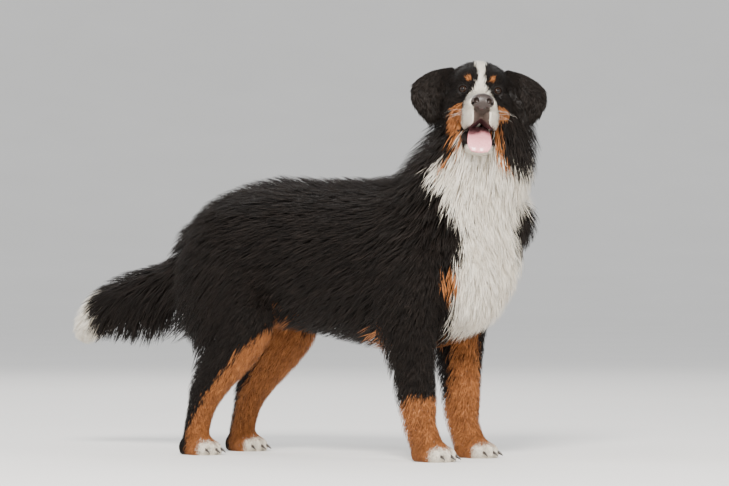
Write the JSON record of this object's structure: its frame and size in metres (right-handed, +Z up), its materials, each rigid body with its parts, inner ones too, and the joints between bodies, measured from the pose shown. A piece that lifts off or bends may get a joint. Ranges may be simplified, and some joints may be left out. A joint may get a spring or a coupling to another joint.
{
  "type": "bernese mountain dog",
  "caption": "Life-size still model of a long-coated tricolour mountain dog, standing four-square with its head turned to its right, mouth open and tongue out.",
  "frame": {"origin": "on the floor under the middle of the model's box", "axes": "+X the way the body faces, +Y the dog's left, +Z up"},
  "size_m": [1.3106, 0.4074, 0.936],
  "materials": {
    "coat_black": "long glossy black coat with a brown cast",
    "coat_rust": "dense rust-coloured coat",
    "coat_white": "long soft white coat",
    "nose_leather": "moist pebbled nose leather",
    "tongue_skin": "moist pink skin",
    "eye_gloss": "wet glossy dark brown eye"
  },
  "bodies": {
    "root": {"torso": "coat_black", "neck": "coat_black", "head": "coat_black", "tail": "coat_black", "ear_left": "coat_black", "ear_right": "coat_black", "foreleg_left": "coat_rust", "foreleg_right": "coat_rust", "hindleg_left": "coat_rust", "hindleg_right": "coat_rust", "jaw": "coat_white", "nose": "nose_leather", "tongue": "tongue_skin", "eye_left": "eye_gloss", "eye_right": "eye_gloss"}
  },
  "joints": []
}
